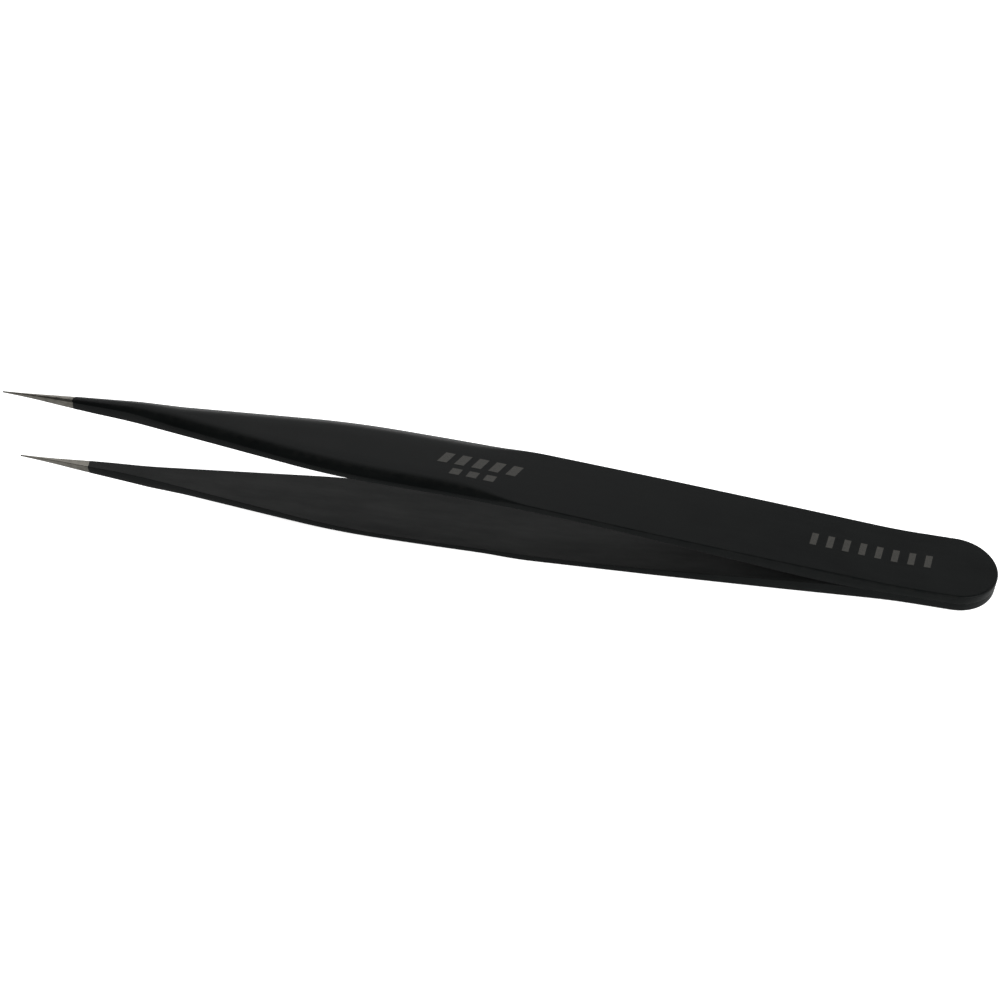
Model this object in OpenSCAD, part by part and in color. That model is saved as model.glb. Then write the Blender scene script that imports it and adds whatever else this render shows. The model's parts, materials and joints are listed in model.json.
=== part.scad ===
// Fine-point precision tweezers with a spring-steel body and a dark coating.
// Two long steel arms are spot-welded together at a round tail. Each arm leaves the weld in an
// S-bend, runs thin through the spring section, thickens again where the fingers hold it, and is
// ground down to a needle point. A thin coating covers everything except the two points.
//
// Arm space: X runs along the arm from its tail end, Z is the height above the plane where the
// arms meet. resting() turns arm space into the part's own frame: the points lie towards -X, the
// tail towards +X, and the part lies on the floor plane on its lower arm.

/* [Arms] */
// Length of each steel arm
arm_length = 120; // [112:1:128]
// Width of the steel at the round tail
tail_width = 9.3; // [8.6:0.1:9.8]
// Width of the steel through the spring section and the finger grip
grip_width = 8.9; // [8:0.1:9.4]
// Width of the steel at the very point
tip_width = 0.16; // [0.12:0.02:0.3]

/* [Side shape] */
// Open distance between the two points
tip_gap = 10.4; // [9.2:0.1:11.6]
// Steel thickness at the welded tail
tail_thickness = 1.05; // [0.9:0.05:1.25]
// Steel thickness at the thickest place, just behind the point
front_thickness = 1.6; // [1.3:0.05:1.8]
// Steel thickness at the very point
tip_thickness = 0.14; // [0.1:0.02:0.3]

/* [Edges] */
// Slope of the long bevels on the outer face, in degrees from that face
bevel_slope = 29; // [24:1:40]
// Slope of the bevels on the ground point
tip_bevel_slope = 48; // [40:1:60]

/* [Coating] */
// Thickness of the coating
coat = 0.1; // [0.06:0.01:0.14]
// Length of bare steel at each point
bare_length = 9.5; // [6:0.5:12]

/* [Weld] */
// Diameter of each spot weld
weld_diameter = 2.6; // [1.5:0.1:3.5]
// Depth of each spot weld into each arm
weld_depth = 0.5; // [0.3:0.05:0.8]
// Distance from the tail end to the rear spot weld
rear_weld_distance = 4.5; // [3.5:0.5:6]
// Distance from the tail end to the front spot weld
front_weld_distance = 10.5; // [9:0.5:11]

/* [Flexing] */
// Distance from the tail end at which the bending arm turns as if on a pivot
pivot_distance = 33; // [30:1:36]

/* [Hidden] */

steel_colour = [0.62, 0.60, 0.56];
weld_colour = [0.45, 0.44, 0.43];
coat_colour = [0.07, 0.07, 0.075];

bend_steps = 10;                    // straight pieces in each rounded bend
end_step = 5;                       // degrees between the points of the round tail end
past_end = 1;                       // how far an outline runs past the tail before it is rounded
room = 20;                          // larger than any height or width of the part
joint_gap = 0.02;                   // free space between the tail and the bending arm

tail_radius = tail_width / 2;
tip_inner = tip_gap / 2;

// Inner face of the upper arm: flat on the weld, S-bend, long grip, ground point
weld_end = 16.7;                    // where the two arms start to part
grip_start = 51;                    // where the spring section meets the grip
grip_inner = tip_inner - 1.25;
point_start = arm_length - 12.5;    // where the inner face turns out to the point
point_inner = tip_inner - 0.44;
inner_points = [
    [-past_end, 0, 0],
    [weld_end, 0, 100],
    [grip_start, grip_inner, 280],
    [point_start, point_inner, 60],
    [arm_length, tip_inner, 0]
];

// Outer face of the upper arm
outer_bend = 11;                    // end of the flat tail
grip_outer_start = 61;              // where the outer face turns into the grip
grip_outer = grip_inner + 1.07;
crown_start = arm_length - 17.5;    // thickest place, where the grinding of the point starts
crown_outer = point_inner + front_thickness;
outer_points = [
    [-past_end, tail_thickness, 0],
    [outer_bend, tail_thickness, 60],
    [grip_outer_start, grip_outer, 160],
    [crown_start, crown_outer, 25],
    [arm_length, tip_inner + tip_thickness, 0]
];

// Half of the outline seen from above
narrowing_start = 38;               // where the blank narrows from the tail's width to the grip's
narrowing_end = 60;
taper_start = arm_length - 44;      // where the long taper begins
needle_start = arm_length - 17;
needle_half = 0.96;
point_taper = arm_length - 5;
point_half = 0.2;
half_outline = [
    [tail_radius, tail_radius, 0],
    [narrowing_start, tail_radius, 100],
    [narrowing_end, grip_width / 2, 100],
    [taper_start, grip_width / 2, 95],
    [needle_start, needle_half, 70],
    [point_taper, point_half, 60],
    [arm_length, tip_width / 2, 0]
];

// Long bevels: the line where each meets the outer face runs from the grip's edge to the crown
bevel_start = 58;
bevel_end_half = 0.42;
grip_rise = (crown_outer - grip_outer) / (crown_start - grip_outer_start);
bevel_start_height = crown_outer - (crown_start - bevel_start) * grip_rise;
crown_edge = [crown_start, bevel_end_half, crown_outer];
point_top = [arm_length, 0, tip_inner + tip_thickness];

// A short run of points round the corner b between a and c
function unit(v) = v / norm(v);
function bend(a, b, c, radius) =
    let (
        towards_a = unit(a - b),
        towards_c = unit(c - b),
        half = acos(towards_a * towards_c) / 2,
        turn = 180 - 2 * half,
        centre = b + unit(towards_a + towards_c) * radius / sin(half),
        from = unit(b + towards_a * radius / tan(half) - centre),
        to = unit(b + towards_c * radius / tan(half) - centre)
    )
    [for (i = [0 : bend_steps])
        let (part = turn * i / bend_steps)
            centre + radius * (from * sin(turn - part) + to * sin(part)) / sin(turn)];

// The corner points [x, y, radius] as one line of points with its corners rounded
function xy(p) = [p.x, p.y];
function rounded(corners) =
    [for (i = [0 : len(corners) - 1])
        each (corners[i][2] == 0
            ? [xy(corners[i])]
            : bend(xy(corners[i - 1]), xy(corners[i]), xy(corners[i + 1]), corners[i][2]))];
function reversed(list) = [for (i = [len(list) - 1 : -1 : 0]) list[i]];
function shifted(list, dy) = [for (p = list) [p.x, p.y + dy]];
function flipped(list) = [for (p = list) [p.x, -p.y]];

inner_line = rounded(inner_points);
outer_line = rounded(outer_points);
half_line = rounded(half_outline);
function inner_height(s) = lookup(s, inner_line);

// Rest on the floor: the line through the tail's lower end and the belly of the grip is level.
// The belly is a round bend, so the line is a tangent from the tail's end to that bend's circle.
tail_foot = [-coat, -tail_thickness - coat];
belly_corner = xy(outer_points[2]);
belly_radius = outer_points[2][2];
belly_in = unit(xy(outer_points[1]) - belly_corner);
belly_out = unit(xy(outer_points[3]) - belly_corner);
belly_half = acos(belly_in * belly_out) / 2;
belly_centre = belly_corner + unit(belly_in + belly_out) * belly_radius / sin(belly_half);
foot_to_centre = [belly_centre.x, -belly_centre.y] - tail_foot;
rest_tilt = asin((belly_radius + coat) / norm(foot_to_centre)) - atan2(foot_to_centre.y, foot_to_centre.x);

// Where the arm space origin sits in the part's frame, so that the box is centred over the floor
tail_reach = coat * cos(rest_tilt) + (tail_thickness + coat) * sin(rest_tilt);
tip_reach = arm_length * cos(rest_tilt) + (tip_inner + tip_thickness) * sin(rest_tilt);
origin_x = (tip_reach - tail_reach) / 2;
origin_z = coat * sin(rest_tilt) + (tail_thickness + coat) * cos(rest_tilt);

// Pivot of the upper arm, on the coated inner face where the tail ends
pivot = [pivot_distance, inner_height(pivot_distance) - coat];

// Moves arm space into the part's frame
module resting() {
    translate([origin_x, 0, origin_z])
        rotate([0, rest_tilt, 0])
            mirror([1, 0, 0])
                children();
}

// The lower arm is the upper arm turned over
module turned_over() {
    mirror([0, 0, 1])
        children();
}

// Everything over the outer face beyond one bevel. The bevel's inner edge runs from point a to
// point b, and its face falls outwards at the given slope.
module above_bevel(a, b, slope, grow) {
    run = b - a;
    translate(a)
        rotate([0, 0, atan2(run.y, run.x)])
            rotate([0, -asin(run.z / norm(run)), 0])
                rotate([-slope, 0, 0])
                    translate([-room, -1, grow])
                        cube([room + 2 * norm(run), room, room]);
}

// Both bevels of one kind, left and right
module bevel_pair(a, b, slope, grow) {
    above_bevel(a, b, slope, grow);
    mirror([0, 1, 0])
        above_bevel(a, b, slope, grow);
}

// The solid of the upper arm, from tail to point, grown by the given thickness all round
module arm(grow) {
    side = concat(shifted(inner_line, -grow), reversed(shifted(outer_line, grow)));
    round_end = [
        for (a = [180 : -end_step : 90 + end_step])
            [tail_radius, 0] + (tail_radius + grow) * [cos(a), sin(a)]
    ];
    edge = concat(round_end, shifted(half_line, grow));
    difference() {
        intersection() {
            translate([0, room / 2, 0])
                rotate([90, 0, 0])
                    linear_extrude(room)
                        polygon(side);
            translate([0, 0, -room / 2])
                linear_extrude(room)
                    polygon(concat(edge, reversed(flipped(edge))));
        }
        bevel_pair([bevel_start, grip_width / 2, bevel_start_height], crown_edge, bevel_slope, grow);
        bevel_pair(crown_edge, point_top, tip_bevel_slope, grow);
    }
}

// The slice of the upper half space between two distances from the tail
module slice(from, to) {
    intersection() {
        children();
        translate([from, -room / 2, 0])
            cube([to - from, room, room]);
    }
}

// The hollow skin round the steel
module skin(from, to) {
    slice(from, to)
        difference() {
            arm(coat);
            arm(0);
        }
}

// One round weld, half in each arm
module spot_weld(distance) {
    translate([distance, 0, -weld_depth])
        cylinder(h = 2 * weld_depth, d = weld_diameter, $fn = 48);
}

module tail_steel() {
    difference() {
        slice(-past_end, pivot.x)
            arm(0);
        spot_weld(rear_weld_distance);
        spot_weld(front_weld_distance);
    }
}

module front_steel() {
    slice(pivot.x + joint_gap, arm_length)
        arm(0);
}

module tail_skin() {
    skin(-past_end, pivot.x);
}

module front_skin() {
    skin(pivot.x + joint_gap, arm_length - bare_length);
}

// The welded ends of the two arms
module upper_arm_tail() {
    color(steel_colour)
        resting()
            tail_steel();
}

module lower_arm_tail() {
    color(steel_colour)
        resting()
            turned_over()
                tail_steel();
}

// The welds that hold the arms together
module front_spot_weld() {
    color(weld_colour)
        resting()
            spot_weld(front_weld_distance);
}

module rear_spot_weld() {
    color(weld_colour)
        resting()
            spot_weld(rear_weld_distance);
}

// The coating round the welded tail
module upper_tail_coating() {
    color(coat_colour)
        resting()
            tail_skin();
}

module lower_tail_coating() {
    color(coat_colour)
        resting()
            turned_over()
                tail_skin();
}

// The upper arm in front of the tail, with its bare point, and its coating
module upper_arm_front() {
    color(steel_colour)
        resting()
            front_steel();
}

module upper_arm_coating() {
    color(coat_colour)
        resting()
            front_skin();
}

// The lower arm in front of the tail, with its bare point, and its coating
module lower_arm_front() {
    color(steel_colour)
        resting()
            turned_over()
                front_steel();
}

module lower_arm_coating() {
    color(coat_colour)
        resting()
            turned_over()
                front_skin();
}

upper_arm_tail();
lower_arm_tail();
front_spot_weld();
rear_spot_weld();
upper_tail_coating();
lower_tail_coating();
upper_arm_front();
upper_arm_coating();
lower_arm_front();
lower_arm_coating();
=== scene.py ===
import json
import math
from functools import lru_cache

import bmesh
import bpy
import numpy as np
from mathutils import Matrix, Vector

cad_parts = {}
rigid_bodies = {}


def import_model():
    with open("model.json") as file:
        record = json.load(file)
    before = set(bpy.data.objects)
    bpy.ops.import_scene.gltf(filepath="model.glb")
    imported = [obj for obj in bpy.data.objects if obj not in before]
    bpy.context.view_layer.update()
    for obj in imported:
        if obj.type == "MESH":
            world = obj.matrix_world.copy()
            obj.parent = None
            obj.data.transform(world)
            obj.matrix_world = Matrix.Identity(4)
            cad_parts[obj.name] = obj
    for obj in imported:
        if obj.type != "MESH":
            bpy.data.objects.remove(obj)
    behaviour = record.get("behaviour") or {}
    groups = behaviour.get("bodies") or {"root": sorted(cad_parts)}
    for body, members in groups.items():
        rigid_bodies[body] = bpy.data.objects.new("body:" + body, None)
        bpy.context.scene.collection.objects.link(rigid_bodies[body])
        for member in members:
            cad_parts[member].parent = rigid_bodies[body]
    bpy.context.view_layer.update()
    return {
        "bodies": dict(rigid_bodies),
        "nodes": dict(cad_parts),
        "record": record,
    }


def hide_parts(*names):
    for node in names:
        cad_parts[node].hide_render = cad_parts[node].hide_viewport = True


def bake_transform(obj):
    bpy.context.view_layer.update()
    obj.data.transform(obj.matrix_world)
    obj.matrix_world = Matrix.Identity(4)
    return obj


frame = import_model()
print("frame loaded:", ", ".join(frame["bodies"]))

mm = 0.001

# Arm space: first number along the arm from its tail end, second across, third away from the
# plane where the arms meet, all in mm. The tail's top face says how that plane lies.
tailSpot = {"along": 7.0, "height": 1.15}
tailTop = next(m for m in frame["record"]["mounts"] if m["name"] == "tail_top")
tilt = math.atan2(tailTop["axis"][0], tailTop["axis"][2])


def armMatrix():
    turn = Matrix.Rotation(tilt, 4, "Y") @ Matrix.Diagonal((-1, 1, 1, 1))
    spot = turn @ (Vector((tailSpot["along"], 0, tailSpot["height"])) * mm)
    return Matrix.Translation(Vector(tailTop["pos_m"]) - spot) @ turn


toFrame = armMatrix()


def inFrame(along, across=0.0, height=0.0):
    return toFrame @ (Vector((along, across, height)) * mm)


view = {
    "aimAlong": 57.48,        # the spot in the middle of the picture, in arm space, mm
    "aimAcross": 0.27,
    "azimuth": 12.51,         # degrees, seen square to the plane between the arms
    "elevation": 43.76,
    "roll": 0.29,
    "distance": 185.96,       # mm
    "lens": 56.3,
}


def makeCamera(v):
    around = math.radians(v["azimuth"])
    up = math.radians(v["elevation"])
    lean = Matrix.Rotation(tilt, 3, "Y")
    back = lean @ Vector((math.sin(around) * math.cos(up), -math.cos(around) * math.cos(up), math.sin(up)))
    side = (lean @ Vector((0, 0, 1))).cross(back).normalized()
    turn = Matrix((side, back.cross(side), back)).transposed().to_4x4()
    turn = turn @ Matrix.Rotation(math.radians(v["roll"]), 4, "Z")
    data = bpy.data.cameras.new("camera")
    data.lens = v["lens"]
    data.sensor_width = 36
    data.clip_start = 0.005
    cam = bpy.data.objects.new("camera", data)
    aim = inFrame(v["aimAlong"], v["aimAcross"])
    cam.matrix_world = Matrix.Translation(aim + back * v["distance"] * mm) @ turn
    bpy.context.collection.objects.link(cam)
    bpy.context.scene.camera = cam
    print("camera at", [round(x / mm, 2) for x in cam.matrix_world.translation])


makeCamera(view)

# The arm blank's side and plan lines. Each corner is (along, value, radius of the bend there)
# for the bare steel.
blank = {
    "length": 120.0,
    "tailRadius": 4.65,
    "inner": [(-1, 0, 0), (16.7, 0, 100), (51, 3.95, 280), (107.5, 4.76, 60), (120, 5.2, 0)],
    "outer": [(-1, 1.05, 0), (11, 1.05, 60), (61, 5.02, 160), (102.5, 6.36, 25), (120, 5.34, 0)],
    "half": [(4.65, 4.65, 0), (38, 4.65, 100), (60, 4.45, 100), (76, 4.45, 95), (103, 0.96, 70),
             (115, 0.2, 60), (120, 0.08, 0)],
    "pointSwell": 0.085,      # the bare point is this much fuller all round
    "pointFrom": (109.0, 110.4),
    "pointTo": (111.0, 119.5),
    "nose": 0.06,             # the very point is rounded over this length
    "seam": 0.003,            # half the line left between the arms where they meet
    "endSteps": 26,           # mesh stations round a quarter of the tail end
    "spacing": 0.6,           # between the stations along the sides
    "bendStart": 16.0,        # the spring section, where the arm bends when it is squeezed
    "bendEnd": 55.0,
}

edges = {
    "inner": 0.06,            # radius of the edge on the inner face
    "tail": 0.25,             # radius of the outer edge at the tail
    "spring": 0.13,           # the same along the spring section
    "tailFade": (12, 26),
    "bevelWidth": 1.0,
    "bevelDrop": 0.63,
    "bevelFade": (52.5, 62.5),    # where the long bevel runs out
    "softness": 0.35,         # how rounded the bevel's upper end is
    "bevelRun": 1.7,          # and where that rounding is over, in bevel widths
    "mostOfHalf": 0.55,       # a bevel takes no more of the half width than this
    "mostOfDepth": 0.48,      # nor more of the thickness than this
}

coat = {
    "thickness": 0.098,
    "end": 110.5,             # where it stops behind the point
    "lip": 0.07,              # length of its rounded end
    "hidden": 0.07,           # the lip turns under the point's fuller steel here
    "waver": 0.1,             # how unevenly it ends
    "waverFrom": 3.0,         # the end's unevenness starts this far behind it
    "clearance": 0.012,       # between its inner wall and the steel
}


def roundedLine(corners, steps=16):
    points = [Vector(corners[0][:2])]
    for before, here, after in zip(corners, corners[1:], corners[2:]):
        a, b, c = (Vector(p[:2]) for p in (before, here, after))
        toA, toC = (a - b).normalized(), (c - b).normalized()
        half = toA.angle(toC) / 2
        turn = math.pi - 2 * half
        centre = b + (toA + toC).normalized() * here[2] / math.sin(half)
        start = (b + toA * here[2] / math.tan(half) - centre).normalized()
        end = (b + toC * here[2] / math.tan(half) - centre).normalized()
        for i in range(steps + 1):
            part = turn * i / steps
            arm = start * math.sin(turn - part) + end * math.sin(part)
            points.append(centre + arm * here[2] / math.sin(turn))
    points.append(Vector(corners[-1][:2]))
    return np.array(points)


innerLine, outerLine, halfLine = (roundedLine(blank[name]) for name in ("inner", "outer", "half"))


def lineAt(line, along):
    return float(np.interp(along, line[:, 0], line[:, 1]))


def fade(value, low, high):
    t = min(max((value - low) / (high - low), 0.0), 1.0)
    return t * t * (3 - 2 * t)


# A station is counted along the side from where the round tail end begins. From -1 to 0 it goes
# round a quarter of that end. This gives its place on the outline and the way in from there.
def outlineSpot(station, grow):
    radius = blank["tailRadius"]
    if station < 0:
        angle = math.pi / 2 * (1 - station)
        out = Vector((math.cos(angle), math.sin(angle)))
        return Vector((radius, 0)) + out * (radius + grow), -out
    along = min(radius + station, blank["length"])
    step = 0.05
    ahead, behind = min(along + step, blank["length"]), along - step
    slope = (lineAt(halfLine, ahead) - lineAt(halfLine, behind)) / (ahead - behind)
    inward = Vector((slope, -1)).normalized()
    return Vector((along, lineAt(halfLine, along))) - inward * grow, inward


# The rows of a section, from the inner face over the edge to the outer face: (way in from the
# outline, which face, depth below that face, how much wear and painted edge highlight it gets,
# how much painted sheen it gets, 1 on the inner face and falling to 0 round its edge).
@lru_cache(maxsize=None)
def edgeRows(station, grow):
    along = max(outlineSpot(station, grow)[0].x, 0)
    half = max(lineAt(halfLine, along), 0.01) + grow
    low = max(lineAt(innerLine, along) - grow, blank["seam"])
    depth = lineAt(outerLine, along) + grow - low
    small = min(edges["inner"], depth * 0.2, half * 0.3)
    tail = fade(along, *edges["tailFade"])
    plain = edges["tail"] * (1 - tail) + edges["spring"] * tail
    bevel = fade(along, *edges["bevelFade"])
    width = min(plain * (1 - bevel) + edges["bevelWidth"] * bevel, half * edges["mostOfHalf"])
    drop = width * (1 - bevel + edges["bevelDrop"] / edges["bevelWidth"] * bevel)
    drop = min(drop, depth * edges["mostOfDepth"])
    soft = edges["softness"]
    last = edges["bevelRun"]

    def slant(u):
        return ((1 - u) + math.sqrt((1 - u) ** 2 + soft * soft)) / 2

    middle = small * 2 + (half - small * 2) * 0.5
    rows = [(middle, "inner", 0.0, 0.0, 1.0), (small * 2, "inner", 0.0, 0.1, 1.0)]
    for a in (0, 22, 45, 68, 90):
        turn = math.radians(a)
        rows.append((small * (1 - math.sin(turn)), "inner", small * (1 - math.cos(turn)), 0.2, 1 - a / 90))
    corner = min(small * 0.8, drop * 0.25) * bevel
    rows.append((0.0, "outer", (depth - small + drop + corner) / 2, 0.1, 0.0))
    rows.append((0.0, "outer", drop + corner, 0.4, 0.0))
    for u in (0.04, 0.12, 0.24, 0.38, 0.54, 0.7, 0.86, 1.02, 1.2, 1.42, last):
        arc = 1 - math.sqrt(1 - (1 - min(u, 1.0)) ** 2)
        fall = (slant(u) - slant(last)) / (slant(0) - slant(last))
        # Wear and painted edge highlight are strongest on the round of the plain edge and at the bevel's
        # upper end
        wearSheenPlain = max(0.0, 1 - abs(u - 0.3) / 0.6)
        wearSheenBevel = max(0.0, 1 - abs(u - 0.9) / 0.5)
        wearSheen = wearSheenPlain * (1 - bevel) + wearSheenBevel * bevel
        rows.append((u * width, "outer", drop * (arc * (1 - bevel) + fall * bevel), wearSheen, 0.0))
    rows.append((last * width + (half - last * width) * 0.5, "outer", 0.0, 0.0, 0.0))
    return rows


rowCount = len(edgeRows(0.0, 0.0))


def edgePoint(station, grow, row, side):
    inset, face, depth, wearSheen, paintedSheen = edgeRows(station, grow)[row]
    spot, inward = outlineSpot(station, grow)
    place = spot + inward * inset
    low = max(lineAt(innerLine, place.x) - grow, blank["seam"])
    high = lineAt(outerLine, place.x) + grow
    height = low + depth if face == "inner" else high - depth
    return (place.x, side * max(place.y, 0.0), height, wearSheen, paintedSheen)


# A section is the closed loop of rows up one side and down the other
def section(station, grow, waver=0.0):
    loop = []
    for number in range(2 * rowCount):
        side, row = (1, number) if number < rowCount else (-1, 2 * rowCount - 1 - number)
        around = 2 * math.pi * number / (2 * rowCount)
        shift = waver * (math.sin(2 * around + 1.1) + 0.6 * math.sin(5 * around) + 0.3 * math.sin(9 * around))
        loop.append(edgePoint(station + shift, grow, row, side))
    return np.array(loop)


def stationsTo(end):
    quarter = [-1 + i / blank["endSteps"] for i in range(blank["endSteps"])]
    count = round((end - blank["tailRadius"]) / blank["spacing"])
    return quarter + [(end - blank["tailRadius"]) * i / count for i in range(count + 1)]


def steelSections():
    nose = blank["nose"]

    def swell(station):
        along = station + blank["tailRadius"]
        return blank["pointSwell"] * fade(along, *blank["pointFrom"]) * (1 - fade(along, *blank["pointTo"]))

    loops = [section(s, swell(s)) for s in stationsTo(blank["length"] - nose)]
    last = loops[-1]
    middle = (last.max(axis=0) + last.min(axis=0)) / 2
    for forward, size in ((0.6, 0.8), (1.0, 0.4)):
        loop = middle + (last - middle) * size
        loop[:, 0] = last[:, 0] + nose * forward
        loops.append(loop)
    return loops


def coatSections():
    finish = coat["end"] - blank["tailRadius"]

    def uneven(station):
        return coat["waver"] * fade(station, finish - coat["waverFrom"], finish)

    stations = stationsTo(coat["end"])
    loops = [section(s, coat["thickness"], uneven(s)) for s in stations]
    for step in range(1, 5):
        turn = math.pi / 2 * step / 4
        grow = coat["hidden"] + (coat["thickness"] - coat["hidden"]) * math.cos(turn)
        loops.append(section(finish + coat["lip"] * math.sin(turn), grow, coat["waver"]))
    loops += [section(s, coat["clearance"], uneven(s)) for s in reversed(stations[:-4])]
    return loops


def buildSkin(name, loops, upper, closedTip):
    sizes = len(loops[0])
    points = np.concatenate(loops)
    flip = 1 if upper else -1
    mesh = bpy.data.meshes.new(name)
    verts = [inFrame(p[0], p[1], p[2] * flip) for p in points]
    faces = []
    for i in range(len(loops) - 1):
        for j in range(sizes):
            k = (j + 1) % sizes
            faces.append((i * sizes + j, (i + 1) * sizes + j, (i + 1) * sizes + k, i * sizes + k))
    if closedTip:
        first = (len(loops) - 1) * sizes
        for j in range(sizes // 2 - 1):
            faces.append((first + j, first + j + 1, first + sizes - 2 - j, first + sizes - 1 - j))
    mesh.from_pydata(verts, [], faces)
    place = mesh.attributes.new("armSpace", "FLOAT_VECTOR", "POINT")
    place.data.foreach_set("vector", (points[:, :3] * (1, 1, flip)).astype(np.float32).ravel())
    # Point masks for wear with painted edge highlight, and for painted sheen on the inner faces
    for column, mark in ((3, "wearSheen"), (4, "paintedSheen")):
        values = mesh.attributes.new(mark, "FLOAT", "POINT").data
        values.foreach_set("value", points[:, column].astype(np.float32))
    work = bmesh.new()
    work.from_mesh(mesh)
    bmesh.ops.remove_doubles(work, verts=work.verts, dist=1e-7)
    bmesh.ops.dissolve_degenerate(work, edges=work.edges, dist=1e-8)
    bmesh.ops.recalc_face_normals(work, faces=work.faces)
    work.to_mesh(mesh)
    work.free()
    mesh.shade_smooth()
    obj = bpy.data.objects.new(name, mesh)
    bpy.context.collection.objects.link(obj)
    return obj


class Nodes:
    def __init__(self, name):
        self.material = bpy.data.materials.new(name)
        self.material.use_nodes = True
        self.tree = self.material.node_tree
        self.shader = self.tree.nodes["Principled BSDF"]

    def add(self, kind, **values):
        node = self.tree.nodes.new(kind)
        for key, value in values.items():
            if key in node.inputs:
                node.inputs[key].default_value = value
            else:
                setattr(node, key, value)
        return node

    def join(self, source, target):
        self.tree.links.new(source, target)

    def place(self, stretch=(1, 1, 1)):
        source = self.add("ShaderNodeAttribute", attribute_name="armSpace")
        mapping = self.add("ShaderNodeMapping")
        mapping.inputs["Scale"].default_value = stretch
        self.join(source.outputs["Vector"], mapping.inputs["Vector"])
        return mapping.outputs["Vector"]

    def noise(self, place, scale, detail=3.0, roughness=0.5):
        node = self.add("ShaderNodeTexNoise", Scale=scale, Detail=detail, Roughness=roughness)
        self.join(place, node.inputs["Vector"])
        return node.outputs["Fac"]

    def ramp(self, source, stops):
        node = self.add("ShaderNodeValToRGB")
        line = node.color_ramp.elements
        while len(line) < len(stops):
            line.new(0.5)
        for element, (where, colour) in zip(line, stops):
            element.position = where
            element.color = (*colour, 1)
        self.join(source, node.inputs["Fac"])
        return node.outputs["Color"]

    def range(self, source, low, high, fromLow=0.3, fromHigh=0.7):
        node = self.add("ShaderNodeMapRange")
        for key, value in (("From Min", fromLow), ("From Max", fromHigh), ("To Min", low), ("To Max", high)):
            node.inputs[key].default_value = value
        self.join(source, node.inputs["Value"])
        return node.outputs["Result"]

    def combine(self, how, first, second):
        node = self.add("ShaderNodeMath", operation=how)
        self.join(first, node.inputs[0])
        if isinstance(second, (int, float)):
            node.inputs[1].default_value = second
        else:
            self.join(second, node.inputs[1])
        return node.outputs[0]

    def mixColour(self, amount, first, second):
        node = self.add("ShaderNodeMix", data_type="RGBA")
        self.join(amount, node.inputs[0])
        for value, socket in ((first, node.inputs[6]), (second, node.inputs[7])):
            if isinstance(value, tuple):
                socket.default_value = (*value, 1)
            else:
                self.join(value, socket)
        return node.outputs[2]

    def bump(self, height, distance):
        node = self.add("ShaderNodeBump", Distance=distance, Strength=1.0)
        self.join(height, node.inputs["Height"])
        self.join(node.outputs["Normal"], self.shader.inputs["Normal"])

    def set(self, **values):
        for key, value in values.items():
            socket = self.shader.inputs[key.replace("_", " ")]
            if isinstance(value, bpy.types.NodeSocket):
                self.join(value, socket)
            else:
                socket.default_value = value


coatFinish = {
    "dark": (0.0018, 0.0023, 0.0023),
    "light": (0.0031, 0.0038, 0.0037),
    # wear and painted edge highlight: a paler brownish colour along the edges
    "wearSheenColour": (0.012, 0.0115, 0.0105),
    "paintedSheen": (0.0116, 0.0120, 0.0117),    # painted light: the inner faces are a little paler, a painted sheen standing in for light between the arms
    "wearSheenAmount": 0.4,
    "shine": 0.04,            # specular level
    "roughness": (0.45, 0.52),
    "grain": 9.0,             # per mm
    "clouds": 0.22,           # per mm
    "grainHeight": 0.0000012,    # m
}


def coatMaterial(f):
    n = Nodes("black_coating")
    place = n.place()
    clouds = n.noise(place, f["clouds"], 4)
    drawn = n.noise(n.place((0.08, 1.6, 1.6)), 1.0, 4)       # faint streaks along the arm
    tone = n.combine("ADD", n.combine("MULTIPLY", clouds, 0.6), n.combine("MULTIPLY", drawn, 0.4))
    body = n.ramp(tone, [(0.36, f["dark"]), (0.64, f["light"])])
    # Painted sheen: the inner faces are mixed toward a paler colour in mottled patches, painted light rather
    # than the coating's own colour
    sheenMask = n.add("ShaderNodeAttribute", attribute_name="paintedSheen").outputs["Fac"]
    mottle = n.range(n.noise(n.place((0.12, 0.5, 0.5)), 1.0, 5, 0.6), 0.35, 1.0, 0.35, 0.65)
    body = n.mixColour(n.combine("MULTIPLY", sheenMask, mottle), body, f["paintedSheen"])
    # Wear and painted edge highlight: the edges are mixed toward the paler colour in noisy patches
    wearSheenMask = n.add("ShaderNodeAttribute", attribute_name="wearSheen").outputs["Fac"]
    patches = n.range(n.noise(place, 0.9, 5, 0.6), 0.0, f["wearSheenAmount"], 0.42, 0.7)
    colour = n.mixColour(n.combine("MULTIPLY", wearSheenMask, patches), body, f["wearSheenColour"])
    fine = n.noise(place, f["grain"], 2)
    rough = n.range(n.combine("ADD", tone, n.combine("MULTIPLY", fine, 0.25)), *f["roughness"], 0.5, 0.75)
    n.bump(n.combine("ADD", fine, n.combine("MULTIPLY", drawn, 1.5)), f["grainHeight"])
    n.set(Base_Color=colour, Roughness=rough, Specular_IOR_Level=f["shine"])
    return n.material


steelFinish = {
    "dark": (0.045, 0.043, 0.037),
    "light": (0.115, 0.109, 0.096),
    "roughness": (0.3, 0.5),
    "scratch": 14.0,          # grinding lines per mm across the arm
    "scratchHeight": 0.000002,
}


def steelMaterial(f):
    n = Nodes("ground_steel")
    lines = n.noise(n.place((0.35, f["scratch"], f["scratch"])), 1.0, 3, 0.6)
    clouds = n.noise(n.place(), 1.4, 3)
    tone = n.combine("ADD", n.combine("MULTIPLY", lines, 0.55), n.combine("MULTIPLY", clouds, 0.45))
    n.bump(lines, f["scratchHeight"])
    n.set(Base_Color=n.ramp(tone, [(0.35, f["dark"]), (0.65, f["light"])]), Metallic=1.0,
          Roughness=n.range(tone, *f["roughness"]))
    return n.material


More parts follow.
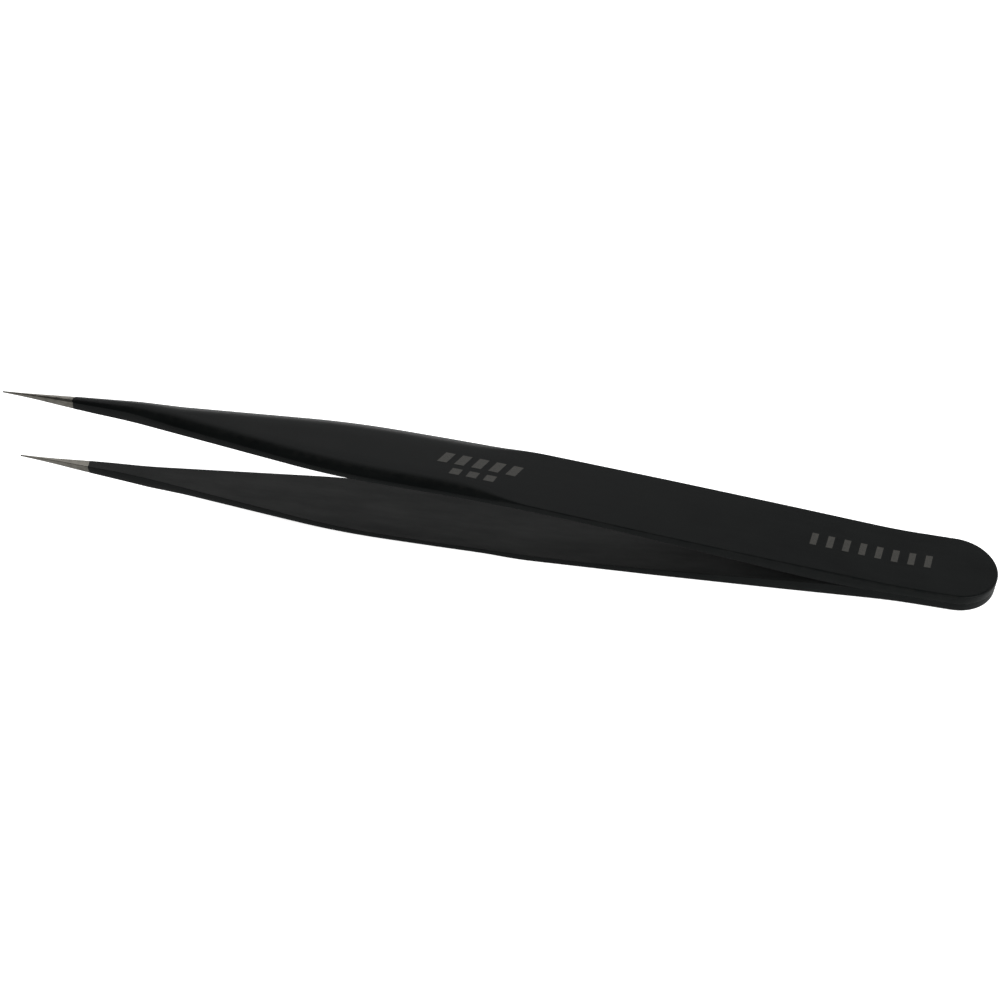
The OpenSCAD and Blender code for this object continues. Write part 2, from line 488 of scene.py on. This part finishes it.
markFinish = {"dark": (0.010, 0.0096, 0.0082), "light": (0.028, 0.027, 0.023), "roughness": (0.5, 0.7)}


def markMaterial(f):
    n = Nodes("etched_mark")
    speckle = n.noise(n.place(), 7.0, 3, 0.6)
    n.bump(speckle, 0.000002)
    n.set(Base_Color=n.ramp(speckle, [(0.3, f["dark"]), (0.6, f["light"])]),
          Roughness=n.range(speckle, *f["roughness"]), Specular_IOR_Level=0.2)
    return n.material


weldFinish = {"plain": (0.36, 0.34, 0.31), "heat": (0.26, 0.17, 0.10), "blue": (0.12, 0.14, 0.22)}


def weldMaterial(f):
    n = Nodes("weld_nugget")
    source = n.add("ShaderNodeTexCoord").outputs["Object"]
    grain = n.noise(source, 2600.0, 4)
    wide = n.noise(source, 700.0, 2)
    n.bump(grain, 0.000004)
    n.set(Base_Color=n.ramp(wide, [(0.35, f["blue"]), (0.5, f["heat"]), (0.65, f["plain"])]), Metallic=1.0,
          Roughness=n.range(grain, 0.35, 0.6))
    return n.material


blackCoating = coatMaterial(coatFinish)
groundSteel = steelMaterial(steelFinish)
etchedMark = markMaterial(markFinish)
weldNugget = weldMaterial(weldFinish)
print("materials made")

# The arms: one steel blank and one coating for each
steelLoops = steelSections()
coatLoops = coatSections()


def bendWith(piece):
    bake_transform(piece)


for arm, upper in (("upper_arm", True), ("lower_arm", False)):
    side = arm.split("_")[0]
    steel = buildSkin(f"{side}_steel_arm", steelLoops, upper, True)
    steel.data.materials.append(groundSteel)
    bendWith(steel)
    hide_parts(f"{arm}_tail", f"{arm}_front")
    skin = buildSkin(f"{side}_black_coating", coatLoops, upper, False)
    skin.data.materials.append(blackCoating)
    bendWith(skin)
    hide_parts(f"{side}_tail_coating", f"{arm}_coating")
    print(f"{side} arm: {len(steel.data.polygons)} steel faces, {len(skin.data.polygons)} coating faces")

for name in ("front_spot_weld", "rear_spot_weld"):
    for slot in frame["nodes"][name].material_slots:
        slot.material = weldNugget

# The marks etched on the upper arm are plain bars, with no lettering
marks = {
    "gripBars": {"start": 64.6, "pitch": 2.05, "width": 1.15, "count": 5, "across": 0.6, "height": 1.7,
                 "lean": 0.7},
    "gripSquares": {"start": 63.0, "pitch": 2.05, "width": 1.2, "count": 3, "across": -1.45, "height": 1.0,
                    "lean": 0.3},
    "tailBars": {"start": 21.0, "pitch": 1.85, "width": 0.75, "count": 8, "across": 0.1, "height": 1.9,
                 "lean": 0.25},
    "lift": 0.01,             # the etched skin stands this far proud, mm
    "steps": 4,
}


def barBlock(work, layers, along, width, across, height, lean):
    steps = marks["steps"]
    corners = []
    for level in (-0.02, marks["lift"]):
        grid = []
        for i in range(steps + 1):
            row = []
            for j in (-1, 1):
                x = along - width * i / steps - lean * j / 2
                z = lineAt(outerLine, x) + coat["thickness"] + level
                y = across + j * height / 2
                vert = work.verts.new(inFrame(x, y, z))
                vert[layers] = Vector((x, y, z))
                row.append(vert)
            grid.append(row)
        corners.append(grid)
    low, high = corners
    for i in range(steps):
        work.faces.new((high[i][0], high[i + 1][0], high[i + 1][1], high[i][1]))
        work.faces.new((low[i][0], low[i][1], low[i + 1][1], low[i + 1][0]))
        for j in (0, 1):
            work.faces.new((low[i][j], low[i + 1][j], high[i + 1][j], high[i][j]))
    for i in (0, steps):
        work.faces.new((low[i][0], low[i][1], high[i][1], high[i][0]))


def buildMark(name, rows):
    mesh = bpy.data.meshes.new(name)
    work = bmesh.new()
    place = work.verts.layers.float_vector.new("armSpace")
    for row in rows:
        for i in range(row["count"]):
            barBlock(work, place, row["start"] - i * row["pitch"], row["width"], row["across"], row["height"],
                     row["lean"])
    bmesh.ops.recalc_face_normals(work, faces=work.faces)
    work.to_mesh(mesh)
    work.free()
    obj = bpy.data.objects.new(name, mesh)
    bpy.context.collection.objects.link(obj)
    mesh.materials.append(etchedMark)
    bendWith(obj)


buildMark("grip_mark", [marks["gripBars"], marks["gripSquares"]])
buildMark("tail_mark", [marks["tailBars"]])
print("marks made")

studio = {
    "floorSize": 6.0,
    "floorDrop": 0.00001,     # how far the floor lies under the tweezers
    "floorTint": (0.86, 0.86, 0.855),
    "floorGlow": 0.75,        # a lit table, so that shadows stay faint
    "skyStrength": 0.27,
    "lights": {
        "far_softbox": {"at": (-0.24, 0.42, 0.4), "aim": (-0.24, 0, 0.005), "size": (0.66, 0.3),
                        "power": 2.2},
        "low_softbox": {"at": (0.1, 0.55, 0.11), "aim": (0.05, 0, 0.005), "size": (1.0, 0.18), "power": 3.0},
        "wide_softbox": {"at": (0.0, -0.7, 0.3), "aim": (0, 0, 0.005), "size": (1.2, 0.4), "power": 1.6},
        "near_softbox": {"at": (0.2, -0.1, 0.08), "aim": (0.06, -0.01, 0), "size": (0.12, 0.1), "power": 0.5},
    },
}


def makeFloor(s):
    mesh = bpy.data.meshes.new("floor")
    work = bmesh.new()
    bmesh.ops.create_grid(work, x_segments=8, y_segments=8, size=s["floorSize"] / 2)
    work.to_mesh(mesh)
    work.free()
    floor = bpy.data.objects.new("floor", mesh)
    floor.location.z = -s["floorDrop"]
    bpy.context.collection.objects.link(floor)
    n = Nodes("pale_floor")
    place = n.add("ShaderNodeTexCoord").outputs["Object"]
    tint = s["floorTint"]
    n.set(Base_Color=n.ramp(n.noise(place, 3.0), [(0.3, tuple(c * 0.995 for c in tint)), (0.7, tint)]),
          Roughness=0.9, Specular_IOR_Level=0.1, Emission_Color=(1, 1, 1, 1),
          Emission_Strength=s["floorGlow"])
    mesh.materials.append(n.material)


def makeLights(s):
    world = bpy.data.worlds.new("studio")
    world.use_nodes = True
    world.node_tree.nodes["Background"].inputs["Color"].default_value = (1, 1, 1, 1)
    world.node_tree.nodes["Background"].inputs["Strength"].default_value = s["skyStrength"]
    bpy.context.scene.world = world
    for name, l in s["lights"].items():
        data = bpy.data.lights.new(name, "AREA")
        data.shape = "RECTANGLE"
        data.size, data.size_y = l["size"]
        data.energy = l["power"]
        lamp = bpy.data.objects.new(name, data)
        lamp.location = l["at"]
        lamp.rotation_euler = (Vector(l["aim"]) - Vector(l["at"])).to_track_quat("-Z", "Y").to_euler()
        bpy.context.collection.objects.link(lamp)


makeFloor(studio)
makeLights(studio)
bpy.context.scene.view_settings.view_transform = "Standard"
print("floor and lights made")

bpy.context.view_layer.update()
